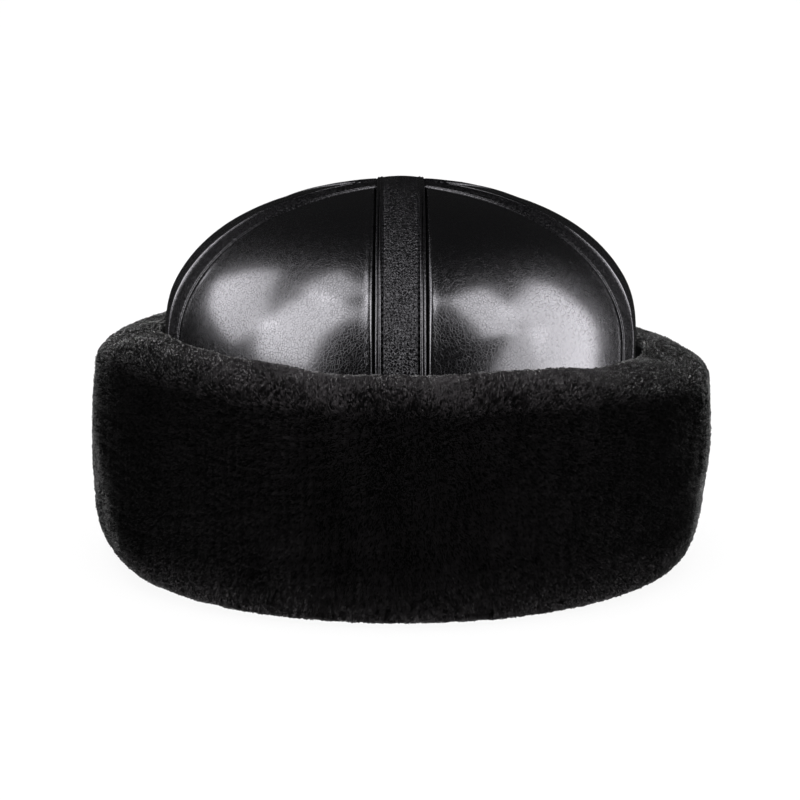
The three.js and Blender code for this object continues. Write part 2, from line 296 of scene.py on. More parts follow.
def ranged(tree, source, low, high, start=0.0, end=1.0, smooth=False):
    """A value spread from one range to another."""
    node = add_node(tree, "MapRange", from_min=start, from_max=end, to_min=low, to_max=high)
    if smooth:
        node.interpolation_type = "SMOOTHSTEP"
    tree.links.new(source, node.inputs["Value"])
    return node.outputs[0]


def blend(tree, share, first, second):
    """A colour between two colours."""
    node = add_node(tree, "Mix", data_type="RGBA")
    node.inputs["A"].default_value = (*first, 1.0)
    node.inputs["B"].default_value = (*second, 1.0)
    tree.links.new(share, node.inputs["Factor"])
    return node.outputs["Result"]


def new_material(name):
    """A material with its node tree and its surface."""
    material = bpy.data.materials.new(name)
    material.use_nodes = True
    return material, material.node_tree, material.node_tree.nodes["Principled BSDF"]


# Leather grain, shared by the panels and the straps: small uneven pebbles parted by fine creases
# that come and go, over longer drawn wrinkles. It puts out a height and a mask of the creases.
PEBBLE_BEND = 1.2 * MM
WRINKLE_RISE = 6.0
grain_group = bpy.data.node_groups.new("leather_grain", "ShaderNodeTree")
grain_group.interface.new_socket("Place", in_out="INPUT", socket_type="NodeSocketVector")
for label in ("Pebble Scale", "Crease Width", "Wrinkle Scale", "Wrinkle Depth"):
    grain_group.interface.new_socket(label, in_out="INPUT", socket_type="NodeSocketFloat")
for label in ("Height", "Pebble"):
    grain_group.interface.new_socket(label, in_out="OUTPUT", socket_type="NodeSocketFloat")
grain_in = grain_group.nodes.new("NodeGroupInput")
grain_out = grain_group.nodes.new("NodeGroupOutput")
links = grain_group.links
warp = add_node(grain_group, "TexNoise", scale=420.0, detail=2.0)
links.new(grain_in.outputs["Place"], warp.inputs["Vector"])
spread = add_node(grain_group, "VectorMath", operation="SCALE", scale=PEBBLE_BEND)
links.new(warp.outputs["Color"], spread.inputs[0])
bent = add_node(grain_group, "VectorMath", operation="ADD")
links.new(grain_in.outputs["Place"], bent.inputs[0])
links.new(spread.outputs[0], bent.inputs[1])
pebble = add_node(grain_group, "TexVoronoi", feature="DISTANCE_TO_EDGE")
links.new(bent.outputs[0], pebble.inputs["Vector"])
links.new(grain_in.outputs["Pebble Scale"], pebble.inputs["Scale"])
crease = add_node(grain_group, "MapRange", interpolation_type="SMOOTHSTEP")
links.new(grain_in.outputs["Crease Width"], crease.inputs["From Max"])
links.new(pebble.outputs["Distance"], crease.inputs["Value"])
wear_and_painted_light = add_node(grain_group, "TexNoise", scale=520.0, detail=2.0)
links.new(grain_in.outputs["Place"], wear_and_painted_light.inputs["Vector"])
fading = ranged(grain_group, wear_and_painted_light.outputs[0], 0.6, 1.0, 0.35, 0.65)
hollow = add_math(grain_group, "SUBTRACT", 1.0, crease.outputs[0])
hollow = add_math(grain_group, "MULTIPLY", hollow, fading)
top = add_math(grain_group, "SUBTRACT", 1.0, hollow)
wrinkle = add_node(grain_group, "TexNoise", detail=3.0, roughness=0.55)
links.new(grain_in.outputs["Place"], wrinkle.inputs["Vector"])
links.new(grain_in.outputs["Wrinkle Scale"], wrinkle.inputs["Scale"])
ridge = add_math(grain_group, "SUBTRACT", wrinkle.outputs[0], 0.5)
ridge = add_math(grain_group, "ABSOLUTE", ridge, 0)
deep = add_math(grain_group, "MULTIPLY", ridge, grain_in.outputs["Wrinkle Depth"])
height = add_math(grain_group, "ADD", top, add_math(grain_group, "MULTIPLY", deep, WRINKLE_RISE))
links.new(height, grain_out.inputs["Height"])
links.new(top, grain_out.inputs["Pebble"])


# The leather's colour in the creases and on the pebbles, as shares of its own: the creases are
# darkened as a painted shade
CREASE_PAINTED_SHADE = 0.4
PEBBLE_TONE = 1.2


def leather_material(name, colour, gloss, grain_values, relief_mm):
    """Black finished leather: its roughness on the pebbles and in the creases, and its top coat."""
    material, tree, skin = new_material(name)
    skin.inputs["IOR"].default_value = 1.5
    skin.inputs["Specular IOR Level"].default_value = gloss["specular"]
    skin.inputs["Coat Roughness"].default_value = gloss["coat_roughness"]
    place = add_node(tree, "TexCoord")
    grain = add_node(tree, "Group", node_tree=grain_group)
    for label, value in grain_values.items():
        grain.inputs[label].default_value = value
    tree.links.new(place.outputs["Object"], grain.inputs["Place"])
    pebble_top = grain.outputs["Pebble"]
    # Painted shade: the colour is made darker in the creases
    in_creases = [CREASE_PAINTED_SHADE * part for part in colour]
    on_pebbles = [PEBBLE_TONE * part for part in colour]
    tone = blend(tree, pebble_top, in_creases, on_pebbles)
    tree.links.new(tone, skin.inputs["Base Color"])
    rough = ranged(tree, pebble_top, gloss["in_creases"], gloss["on_pebbles"])
    tree.links.new(rough, skin.inputs["Roughness"])
    height = grain.outputs["Height"]
    coat = ranged(tree, pebble_top, gloss["coat"] * gloss["crease_coat"], gloss["coat"])
    if "edge_coat" in gloss:
        lie = add_node(tree, "Attribute", attribute_name="strap_lie")
        ways = add_node(tree, "SeparateXYZ")
        tree.links.new(lie.outputs["Vector"], ways.inputs[0])
        beside = add_math(tree, "ABSOLUTE", ways.outputs["X"], 0)
        folded = ranged(tree, beside, 0.0, 1.0, *FOLDED_FROM)
        polish = ranged(tree, folded, 1.0, gloss["edge_coat"] / gloss["coat"])
        coat = add_math(tree, "MULTIPLY", coat, polish)
        # The leather is pulled down beside every stitch
        near = ranged(tree, beside, 0.0, 1.0, *PULLED_FROM)
        turns = add_math(tree, "MULTIPLY", ways.outputs["Y"], 2 * math.pi / STITCH_PITCH * MM)
        pull = add_math(tree, "MULTIPLY", near, add_math(tree, "COSINE", turns, 0))
        height = add_math(tree, "SUBTRACT", height, add_math(tree, "MULTIPLY", pull, STITCH_PULL))
        height = add_math(tree, "MULTIPLY", height, ranged(tree, folded, 1.0, EDGE_RELIEF))
    tree.links.new(coat, skin.inputs["Coat Weight"])
    relief = add_node(tree, "Bump", strength=1.0, distance=relief_mm * MM)
    tree.links.new(height, relief.inputs["Height"])
    tree.links.new(relief.outputs["Normal"], skin.inputs["Normal"])
    return material


panel_leather = leather_material(
    "panel_leather", (0.0012, 0.0012, 0.0013),
    {"specular": 0.65, "on_pebbles": 0.2, "in_creases": 0.32, "coat": 1.0, "coat_roughness": 0.18,
     "crease_coat": 0.6},
    {"Pebble Scale": 900.0, "Crease Width": 0.16, "Wrinkle Scale": 420.0, "Wrinkle Depth": 0.25},
    relief_mm=0.035)
dome = add_dome()
for seed, (side, (start, end)) in enumerate(PANELS.items()):
    start = math.radians(SEAMS[start])
    end = math.radians(SEAMS[end])
    if side == "back_left":
        start = -start
    panel = cut_gore(dome, start, end)
    lay_panel(panel, start, end, seed)
    wall_inward(panel, LEATHER_WALL)
    panel.name = "leather_panel_" + side
    panel.data.name = panel.name
    panel.data.materials.clear()
    panel.data.materials.append(panel_leather)
    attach(panel, "root")
    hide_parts("panel_" + side)
bpy.data.objects.remove(dome)

# The centre strap: a 20 mm strip of the same leather with a coarser, drawn grain, its edges folded
# under, laid over the front and back seams in one piece and topstitched 2.8 mm in from each edge.
# At the apex it lies over the ends of the side bands.
STRAP_HALF = 9.8
APEX_LIFT = 0.8
STITCH_LINE = 7.0
STITCH_PITCH = 2.6 * MM
# Section of a strap: distance from its middle and height over the crown, in mm
STRAP_SECTION = {
    "across": (0.0, 1.5, 3.0, 4.2, 5.2, 5.8, 6.2, 6.45, 6.6, 6.7, 6.85, 7.15, 7.3, 7.4, 7.5, 7.65,
               7.9, 8.1, 8.3, 8.42, 8.5, 8.6, 8.7, 8.8, 8.95, 9.15, 9.35, 9.55, 9.7, 9.78, 9.8,
               9.8),
    "height": (0.7, 0.69, 0.65, 0.6, 0.55, 0.5, 0.44, 0.34, 0.15, -0.3, -0.75, -0.75, -0.3, 0.1,
               0.38, 0.58, 0.68, 0.68, 0.58, 0.35, -0.1, -0.8, -0.1, 0.25, 0.45, 0.52, 0.5, 0.38,
               0.1, -0.3, -0.7, -1.15),
}
STRAP_ROWS = 240
STRAP_ACROSS = np.array([-mm for mm in reversed(STRAP_SECTION["across"][1:])]
                        + list(STRAP_SECTION["across"]))
STRAP_HEIGHT = np.array(list(reversed(STRAP_SECTION["height"][1:])) + list(STRAP_SECTION["height"]))
STRAP_EDGE_GAP = 0.35
STRAP_WALL = 0.12 * MM
# Where the edge is folded over and where the stitches pull the leather down, in mm from the middle
FOLDED_FROM = (7.2, 7.5)
PULLED_FROM = (5.3, 6.5)
STITCH_PULL = 0.6
EDGE_RELIEF = 0.12
STRAP_HOLLOWS = (0.1, 13.0 * MM)
STRAP_PUCKERS = (0.055, 3.6 * MM)


def run_along(line):
    """How far each point lies along a line of points."""
    steps = np.linalg.norm(np.diff(line, axis=0), axis=1)
    return np.concatenate([[0.0], np.cumsum(steps)])


def even_rows(turns, stations, count):
    """Rows at even steps along a line on the crown, from closely spaced ones."""
    run = run_along(crown_surface(turns, stations))
    even = np.linspace(0.0, run[-1], count + 1)
    return np.interp(even, run, stations), even


def add_strip(name, rows):
    """A level grid as wide as a strap's section and as long as its rows."""
    columns = len(STRAP_ACROSS) - 1
    bpy.ops.mesh.primitive_grid_add(x_subdivisions=columns, y_subdivisions=rows, size=2.0)
    strip = bpy.context.active_object
    strip.name = name
    strip.data.name = name
    places = places_of(strip)
    column = np.rint((places[:, 0] + 1) / 2 * columns).astype(int)
    row = np.rint((places[:, 1] + 1) / 2 * rows).astype(int)
    return strip, column, row


def mark_lie(strip, across, run):
    """Notes each point's place across and along the strap, in mm, for the leather's grain."""
    lie = strip.data.attributes.new("strap_lie", "FLOAT_VECTOR", "POINT")
    lie.data.foreach_set("vector", np.stack([across, run / MM, np.zeros_like(run)], -1).ravel())


def strap_frame(row):
    """Point, upward normal and bend radius of the centre strap at a signed station."""
    station = np.abs(row)
    turn = np.where(row < 0, 0.0, math.pi)
    base = crown_surface(turn, station)
    normal = crown_normal(turn, station)
    level = smooth_rise(station, 0.0, 0.03)[..., None]
    normal = normal * level + np.array([0.0, 0.0, 1.0]) * (1 - level)
    flat = CROWN_HALF_WIDTH ** 2 / DOME_RISE
    upright = CROWN_HALF_WIDTH ** 2 / CROWN_HALF_LENGTH
    bend = flat + (upright - flat) * np.clip(station, 0, 1)
    return base, unit(normal), bend


def centre_strap_place(row, across, height):
    base, normal, bend = strap_frame(row)
    sag = (across * MM) ** 2 / (2 * bend)
    place = base + normal * (height * MM - sag)[..., None]
    place[..., 0] += across * MM
    return place


def drawn_height(across, height, run, seed):
    """The strap's height with the unevenness of drawn leather, none at its tucked edges."""
    places = np.stack([across * MM, run, np.full_like(run, seed * 0.31)], -1)
    face = 1.0 - smooth_rise(np.abs(across), 6.2, 7.4) * 0.8
    puckers = uneven(places * np.array([1.3, 0.7, 1.0]), STRAP_PUCKERS, seed + 3)
    return height + face * (uneven(places, STRAP_HOLLOWS, seed) + puckers)


signed = np.concatenate([-np.linspace(2.0, 0.0, 900), np.linspace(0.0, 2.0, 900)[1:]])
signed_turns = np.where(signed < 0, 0.0, math.pi)
strap_run = run_along(crown_surface(signed_turns, np.abs(signed)))
strap_length = strap_run[-1]
strap, column, row = add_strip("leather_center_strap", STRAP_ROWS)
row_run = np.linspace(0.0, strap_length, STRAP_ROWS + 1)
row_station = np.interp(row_run, strap_run, signed)
# The grooves are pressed shut where the strap bends over the ends of the bands
at_apex = 1 - smooth_rise(np.abs(row_station[row]), 0.06, 0.3)
shut = np.where(np.abs(STRAP_ACROSS[column]) < 9.4, np.maximum(STRAP_HEIGHT[column], 0.45),
                STRAP_HEIGHT[column])
strap_lift = STRAP_HEIGHT[column] * (1 - at_apex) + shut * at_apex
strap_lift = drawn_height(STRAP_ACROSS[column], strap_lift, row_run[row], 1) + APEX_LIFT * at_apex
put_places(strap, centre_strap_place(row_station[row], STRAP_ACROSS[column], strap_lift))
mark_lie(strap, STRAP_ACROSS[column], row_run[row])
strap_grain = {"Pebble Scale": 800.0, "Crease Width": 0.3, "Wrinkle Scale": 380.0,
               "Wrinkle Depth": 0.7}
strap_leather = leather_material(
    "strap_leather", (0.0014, 0.0013, 0.0015),
    {"specular": 0.36, "on_pebbles": 0.22, "in_creases": 0.36, "coat": 0.12, "coat_roughness": 0.2,
     "crease_coat": 0.3, "edge_coat": 1.0}, strap_grain, relief_mm=0.3)


def finish_strap(piece, node, leather):
    """Gives a laid strip its body, its material and its place in the frame."""
    middle = places_of(piece).mean(axis=0)
    polygon = min(piece.data.polygons, key=lambda face: (face.center - Vector(middle)).length)
    outward = Vector(polygon.center) - Vector((*CROWN_SHIFT[:2], 0.06))
    if polygon.normal.dot(outward) < 0:
        piece.data.flip_normals()
    wall_inward(piece, STRAP_WALL)
    piece.data.materials.clear()
    piece.data.materials.append(leather)
    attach(piece, "root")
    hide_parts(node)


finish_strap(strap, "center_strap", strap_leather)

# The four side bands: the same folded strips over the other seams. They run together at the apex,
# where each is trimmed to a point and its end is caught under the edge of the centre strap.
BAND_ROWS = 110
UNDER_STRAP = 1.5


def turn_across(width, reach):
    """The angle round the crown that a level width in mm takes up."""
    return np.arcsin(np.minimum(width * MM / reach, 0.999))


def band_edges(seam, neighbour, station):
    half = turn_across(STRAP_HALF, seam_reach(seam, station))
    strap_turn = turn_across(STRAP_HALF - UNDER_STRAP, CROWN_HALF_WIDTH * crown_reach(station))
    side = math.copysign(1.0, seam)
    behind = abs(seam) > math.pi / 2
    strap_side = side * (math.pi - strap_turn if behind else strap_turn)
    meeting = (seam + neighbour) / 2
    gap = turn_across(STRAP_EDGE_GAP / 2, seam_reach(meeting, station))
    meeting_side = meeting + gap * math.copysign(1.0, seam - meeting)
    low = np.maximum(seam - half, np.minimum(strap_side, meeting_side))
    high = np.minimum(seam + half, np.maximum(strap_side, meeting_side))
    return low, high


def band_turn(seam, neighbour, station, across):
    low, high = band_edges(seam, neighbour, station)
    return low + (high - low) * (across / STRAP_HALF + 1) / 2


def band_place(seam, neighbour, station, across, height):
    turn = band_turn(seam, neighbour, station, across)
    return crown_surface(turn, station) + crown_normal(turn, station) * (height * MM)[..., None]


def uncut_across(seam, neighbour, station, across):
    """Where a place on the trimmed band lies across the full strip that it was cut from."""
    turned = band_turn(seam, neighbour, station, across) - seam
    half = turn_across(STRAP_HALF, seam_reach(seam, station))
    return np.clip(turned / half, -1.0, 1.0) * STRAP_HALF


def band_stations(seam):
    first_radius = (STRAP_HALF - UNDER_STRAP) * MM / math.sin(abs(seam)) + 0.3 * MM
    first = math.asin((first_radius / CROWN_HALF_WIDTH) ** (DOME_FULLNESS / 2)) * 2 / math.pi
    return np.linspace(first, 2.0, 600)


band_leather = leather_material(
    "band_leather", (0.0014, 0.0013, 0.0015),
    {"specular": 0.13, "on_pebbles": 0.2, "in_creases": 0.34, "coat": 0.06, "coat_roughness": 0.16,
     "crease_coat": 0.2, "edge_coat": 1.0}, strap_grain, relief_mm=0.36)
bands = {}
for seed, (side, other) in enumerate((("front_left", "back_left"), ("front_right", "back_right"),
                                      ("back_left", "front_left"), ("back_right", "front_right"))):
    seam = math.radians(SEAMS[side])
    neighbour = math.radians(SEAMS[other])
    stations, runs = even_rows(seam, band_stations(seam), BAND_ROWS)
    band, column, row = add_strip("leather_band_" + side, BAND_ROWS)
    across = uncut_across(seam, neighbour, stations[row], STRAP_ACROSS[column])
    cut = np.interp(np.abs(across), STRAP_SECTION["across"], STRAP_SECTION["height"])
    lift = np.where(np.abs(across - STRAP_ACROSS[column]) < 0.02, STRAP_HEIGHT[column], cut)
    lift = drawn_height(across, lift, runs[row], 11 + 2 * seed)
    put_places(band, band_place(seam, neighbour, stations[row], STRAP_ACROSS[column], lift))
    mark_lie(band, across, runs[row])
    finish_strap(band, "band_" + side, band_leather)
    bands[side] = (seam, neighbour, stations, runs)

# The topstitching: black waxed thread in a groove along both edges of every strap, about four
# stitches to the centimetre, each one a short round of thread that dips into the leather.
STITCH_LONG = 2.0 * MM
STITCH_THICK = 0.42 * MM
STITCH_SIDES = 6
STITCH_HEIGHT = -0.3
BAND_SEWN_FROM = 8.0 * MM


def add_stitch():
    bpy.ops.mesh.primitive_uv_sphere_add(segments=STITCH_SIDES, ring_count=4, radius=0.5)
    stitch = bpy.context.active_object
    put_places(stitch, places_of(stitch) * np.array([STITCH_THICK, STITCH_THICK, STITCH_LONG]))
    return stitch


def sew(name, centres, forwards, ups):
    """Copies the single stitch to every place along a seam and joins them as one piece."""
    single = places_of(stitch)
    faces = [tuple(face.vertices) for face in stitch.data.polygons]
    sides = unit(np.cross(forwards, ups))
    ups = np.cross(sides, forwards)
    along = single[:, 2][None, :, None] * forwards[:, None, :]
    wide = single[:, 0][None, :, None] * sides[:, None, :]
    tall = single[:, 1][None, :, None] * ups[:, None, :]
    places = (centres[:, None, :] + along + wide + tall).reshape(-1, 3)
    copies = [tuple(corner + number * len(single) for corner in face)
              for number in range(len(centres)) for face in faces]
    mesh = bpy.data.meshes.new(name)
    mesh.from_pydata(places.tolist(), [], copies)
    mesh.shade_smooth()
    piece = bpy.data.objects.new(name, mesh)
    scene.collection.objects.link(piece)
    mesh.materials.append(thread)
    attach(piece, "root")


def stitch_line(line):
    """Centres, directions and normals of the stitches along a line of close points."""
    run = run_along(line)
    at = (np.arange(int(run[-1] / STITCH_PITCH)) + 0.5) * STITCH_PITCH
    centre, ahead, behind = (np.stack([np.interp(at + shift, run, line[:, axis])
                                       for axis in range(3)], -1) for shift in (0.0, MM, -MM))
    turn, station = crown_turn_and_station(centre)
    return centre, unit(ahead - behind), crown_normal(turn, station)


def sew_both_edges(name, edge_line, points):
    """Sews along the two edges of a strap, where edge_line gives its points at a place across."""
    lines = [edge_line(np.full(points, side * STITCH_LINE), np.full(points, STITCH_HEIGHT))
             for side in (-1.0, 1.0)]
    sew(name, *[np.concatenate(part) for part in zip(*map(stitch_line, lines))])


thread, thread_tree, skin = new_material("waxed_thread")
skin.inputs["Roughness"].default_value = 0.42
place = add_node(thread_tree, "TexCoord")
twist = add_node(thread_tree, "TexNoise", scale=2500.0, detail=1.0)
thread_tree.links.new(place.outputs["Object"], twist.inputs["Vector"])
tone = blend(thread_tree, twist.outputs[0], (0.012, 0.012, 0.013), (0.03, 0.03, 0.032))
thread_tree.links.new(tone, skin.inputs["Base Color"])
stitch = add_stitch()
fine = np.interp(np.linspace(0, strap_length, 900), strap_run, signed)
sew_both_edges("center_strap_stitches", partial(centre_strap_place, fine), 900)
for side, (seam, neighbour, stations, runs) in bands.items():
    fine = np.interp(np.linspace(BAND_SEWN_FROM, runs[-1], 500), runs, stations)
    sew_both_edges("band_" + side + "_stitches", partial(band_place, seam, neighbour, fine), 500)
bpy.data.objects.remove(stitch)

# The cuff's pelt: the padded body of the turned-up fur, a soft closed ring whose skin carries the
# pile. It is swollen by cloth pressure from a slightly smaller ring, held close to its cut shape.
PELT_INSET = 3.6 * MM
PELT_SWELL = 1.0 * MM
PELT_VOXEL = 5.0 * MM
PELT_PRESSED = 12.0 * MM
PELT_OFF_GROUND = 0.5 * MM
SIM_FRAMES = 20

cuff_node = frame["nodes"]["cuff_fur"]
pelt = cuff_node.copy()
pelt.data = cuff_node.data.copy()
for key in list(pelt.keys()):
    del pelt[key]
pelt.parent = None
pelt.name = "fur_cuff_pelt"
pelt.data.name = pelt.name
scene.collection.objects.link(pelt)
only_active(pelt)
bpy.ops.object.mode_set(mode="EDIT")
bpy.ops.mesh.select_all(action="SELECT")
bpy.ops.mesh.remove_doubles(threshold=0.00001)
bpy.ops.mesh.normals_make_consistent(inside=False)
bpy.ops.object.mode_set(mode="OBJECT")
shape_with(pelt, "even mesh", "REMESH", mode="VOXEL", voxel_size=PELT_VOXEL)
shape_with(pelt, "soften", "SMOOTH", factor=0.5, iterations=4)
put_places(pelt, places_of(pelt) - places_of(pelt, "normal") * PELT_INSET)
cut_shape = places_of(pelt)
cloth = pelt.modifiers.new("padding", "CLOTH")
cloth.settings.quality = 4
cloth.settings.mass = 0.3
cloth.settings.use_pressure = True
cloth.settings.uniform_pressure_force = 4.0
cloth.settings.effector_weights.gravity = 0.0
cloth.point_cache.frame_start = 1
cloth.point_cache.frame_end = SIM_FRAMES
for number in range(1, SIM_FRAMES + 1):
    scene.frame_set(number)
only_active(pelt)
bpy.ops.object.modifier_apply(modifier=cloth.name)
scene.frame_set(1)
moved = places_of(pelt) - cut_shape
length = np.linalg.norm(moved, axis=1, keepdims=True)
moved *= np.minimum(1.0, PELT_SWELL / np.maximum(length, 1e-9))
put_places(pelt, cut_shape + moved)
shape_with(pelt, "round", "SUBSURF", levels=1, render_levels=1)
pelt.data.shade_smooth()
# Its underside is pressed flat where the cuff stands on the ground
pelt_places = places_of(pelt)
lowest = pelt_places[:, 2].min()
low = pelt_places[:, 2] < PELT_PRESSED
pressed = (PELT_PRESSED - PELT_OFF_GROUND) / (PELT_PRESSED - lowest)
pelt_places[low, 2] = PELT_OFF_GROUND + (pelt_places[low, 2] - lowest) * pressed
put_places(pelt, pelt_places)


def fur_material(name, dark, light, roughness, sheen):
    """Dyed black fur: the tone wanders from lock to lock."""
    material, tree, hair = new_material(name)
    hair.inputs["Specular IOR Level"].default_value = 0.04
    hair.inputs["Sheen Weight"].default_value = sheen
    hair.inputs["Sheen Roughness"].default_value = 0.18
    place = add_node(tree, "TexCoord")
    locks = add_node(tree, "TexNoise", scale=600.0, detail=3.0, roughness=0.6)
    tree.links.new(place.outputs["Object"], locks.inputs["Vector"])
    tree.links.new(blend(tree, locks.outputs[0], dark, light), hair.inputs["Base Color"])
    rough = ranged(tree, locks.outputs[0], roughness - 0.08, roughness + 0.08)
    tree.links.new(rough, hair.inputs["Roughness"])
    return material


pelt.data.materials.clear()
pelt.data.materials.append(
    fur_material("fur_roots", (0.0004, 0.0004, 0.0004), (0.0008, 0.0008, 0.0008), 0.9, 0.0))
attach(pelt, "root")
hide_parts("cuff_fur")
pelt.visible_glossy = False

# The fur pile: dense sheared black hair that stands off the pelt and is cut to one even surface.
# Its tips stand on the turned-up cuff's own form, bunched in small tufts and brushed a little down.
CUFF_HALF_WIDTH = 127.5
CUFF_HALF_LENGTH = 145.0
CUFF_SQUARENESS = 2.074
CUFF_BELLY = 1.7
CUFF_SIDE_LEAN = 0.7
CUFF_MIDDLE = 45.0
RIM_HEIGHT = 90.3
RIM_ROLL_IN = 26.0
RIM_ROLL_DOWN = 12.8
RIM_INNER_DROP = 5.0
BOTTOM_ROLL_IN = 14.6
BOTTOM_ROLL_UP = 25.6
CUFF_TO_CROWN = 1.3
LOCK_RELIEF = 0.55
RIM_WAVES = {"size": (5.4, 0.43, 0.49, 0.46), "around": (1, 3, 4, 5), "top": (-48, 51, 31, 21)}
FUR_SWELLS = {"size": (0.6, 0.5, 0.45), "around": (7, 12, 17), "lean": (1.1, -1.7, 2.9),
              "start": (0.4, 2.1, 4.0)}
# The fold's line on the front, from and to (across, height), its depth and its raised lip, in mm
FOLD = {"from": (13.0, 76.5), "to": (45.0, 81.5), "deep": 1.5, "raised": 0.9}
COAT_STEPS = 420
COAT_ROWS = {"bottom": 14, "wall": 20, "rim": 18, "inside": 4}
HAIRS = 540000
HAIR_LONG = 3.2 * MM
HAIR_WIDE = 0.5 * MM
# The hairs lean in swells and bunch in tufts: the share, size and seed of each
HAIR_LEAN = ((0.07, 18.0 * MM, 3), (0.1, 4.5 * MM, 4), (0.12, 2.2 * MM, 6))
HAIR_STRAY = 0.1
BRUSHED_DOWN = 0.08
TUFTS = ((1.0, 3.2 * MM, 5), (0.6, 9.0 * MM, 7))
TUFT_RISE = 0.28 * MM
UNEVEN_CUT = 0.12 * MM
TIPS_OFF_GROUND = 0.12 * MM
ROOTS_OFF_GROUND = 0.3 * MM
HAIR_SHARE = 0.25
HAIR_ROUNDNESS = 0.12
PILE_SECTORS = {"front": (-47, 47), "right": (47, 133), "back": (133, 227), "left": (227, 313)}
rng = np.random.default_rng(11)


def fur_swell(angle, level):
    swell = 0.0
    for size, around, lean, start in zip(*FUR_SWELLS.values()):
        swell = swell + size * np.sin(around * angle + lean * level + start)
    return LOCK_RELIEF * swell


def cuff_outline(angle, inset):
    power = 2 / CUFF_SQUARENESS
    sine, cosine = np.sin(angle), np.cos(angle)
    across = (CUFF_HALF_WIDTH - inset) * np.sign(sine) * np.abs(sine) ** power
    along = -(CUFF_HALF_LENGTH - inset) * np.sign(cosine) * np.abs(cosine) ** power
    return across, along


def coat_rows(angle):
    """The coat's section at each angle, from the floor up over the rim and down to the crown."""
    rim = RIM_HEIGHT + sum(size * np.cos(around * (angle - math.radians(top)))
                           for size, around, top in zip(*RIM_WAVES.values()))
    shoulder = rim - RIM_ROLL_DOWN
    rows = []
    for part in np.linspace(0, 1, COAT_ROWS["bottom"], endpoint=False):
        turn = part * math.pi / 2
        swell = fur_swell(angle, part) * smooth_rise(part, 0, 0.5)
        inset = BOTTOM_ROLL_IN * (1 - math.sin(turn)) - swell
        rows.append((inset, BOTTOM_ROLL_UP * (1 - math.cos(turn)) + 0 * angle))
    for part in np.linspace(0, 1, COAT_ROWS["wall"], endpoint=False):
        bulge = CUFF_BELLY * math.sin(math.pi * part) + fur_swell(angle, 1 + 2 * part)
        rows.append((-bulge, BOTTOM_ROLL_UP + (shoulder - BOTTOM_ROLL_UP) * part))
    for part in np.linspace(0, 1, COAT_ROWS["rim"]):
        turn = part * math.pi / 2
        swell = fur_swell(angle, 3 + part)
        inset = RIM_ROLL_IN * (1 - math.cos(turn)) - swell * math.cos(turn)
        rows.append((inset, shoulder + (RIM_ROLL_DOWN + swell) * math.sin(turn)))
    points = []
    for inset, height in rows:
        across, along = cuff_outline(angle, inset)
        lean = CUFF_SIDE_LEAN * (height / CUFF_MIDDLE - 1) * smooth_rise(height, 0, 12)
        points.append(np.stack([across + lean, along, height], -1))
    crown_gap = np.stack([(CROWN_HALF_WIDTH / MM + CUFF_TO_CROWN) * np.sin(angle),
                          -(CROWN_HALF_LENGTH / MM + CUFF_TO_CROWN) * np.cos(angle),
                          rim - RIM_INNER_DROP], -1)
    for part in np.linspace(0, 1, COAT_ROWS["inside"] + 1)[1:]:
        points.append(points[len(rows) - 1] * (1 - part) + crown_gap * part)
    return np.stack(points, 0) * MM + CROWN_SHIFT


def add_coat_form():
    """A fine temporary skin in the form of the sheared coat, to stand the hair tips on."""
    angle = np.linspace(-math.pi, math.pi, COAT_STEPS, endpoint=False)
    rows = coat_rows(angle)
    count = len(rows)
    faces = [(row * COAT_STEPS + step, row * COAT_STEPS + (step + 1) % COAT_STEPS,
              (row + 1) * COAT_STEPS + (step + 1) % COAT_STEPS, (row + 1) * COAT_STEPS + step)
             for row in range(count - 1) for step in range(COAT_STEPS)]
    mesh = bpy.data.meshes.new("coat_form")
    mesh.from_pydata(rows.reshape(-1, 3).tolist(), [], faces)
    mesh.update()
    return bpy.data.objects.new("coat_form", mesh)


def scatter_on(piece, count):
    """Random places spread evenly over a piece's faces, with their normals and row."""
    mesh = piece.data
    mesh.calc_loop_triangles()
    corners = np.empty(len(mesh.loop_triangles) * 3, np.int32)
    mesh.loop_triangles.foreach_get("vertices", corners)
    corners = corners.reshape(-1, 3)
    places = places_of(piece)
    normals = places_of(piece, "normal")
    a, b, c = (places[corners[:, k]] for k in range(3))
    area = np.linalg.norm(np.cross(b - a, c - a), axis=1)
    chosen = rng.choice(len(corners), count, p=area / area.sum())
    u, v = rng.random(count), rng.random(count)
    flip = u + v > 1
    u[flip], v[flip] = 1 - u[flip], 1 - v[flip]
    shares = np.stack([1 - u - v, u, v], -1)[:, :, None]
    normal = (normals[corners[chosen]] * shares).sum(axis=1)
    place = (places[corners[chosen]] * shares).sum(axis=1)
    row = (corners[chosen] // COAT_STEPS * shares[:, :, 0]).sum(axis=1)
    return place, unit(normal), row


def wave_field(places, size, seed, waves=9):
    """Smooth random vectors over space, from crossed waves of about the given size."""
    pick = np.random.default_rng(seed)
    total = np.zeros_like(places)
    for wave in range(waves):
        way = pick.normal(size=3)
        way *= pick.uniform(0.7, 1.5) * 2 * math.pi / size / np.linalg.norm(way)
        push = pick.normal(size=3)
        total += np.sin(places @ way + pick.uniform(0, 6.28))[:, None] * push
    return total / math.sqrt(waves)


def crossed_waves(places, parts):
    """Smooth random vectors, summed from waves of several sizes."""
    return sum(share * wave_field(places, size, seed) for share, size, seed in parts)


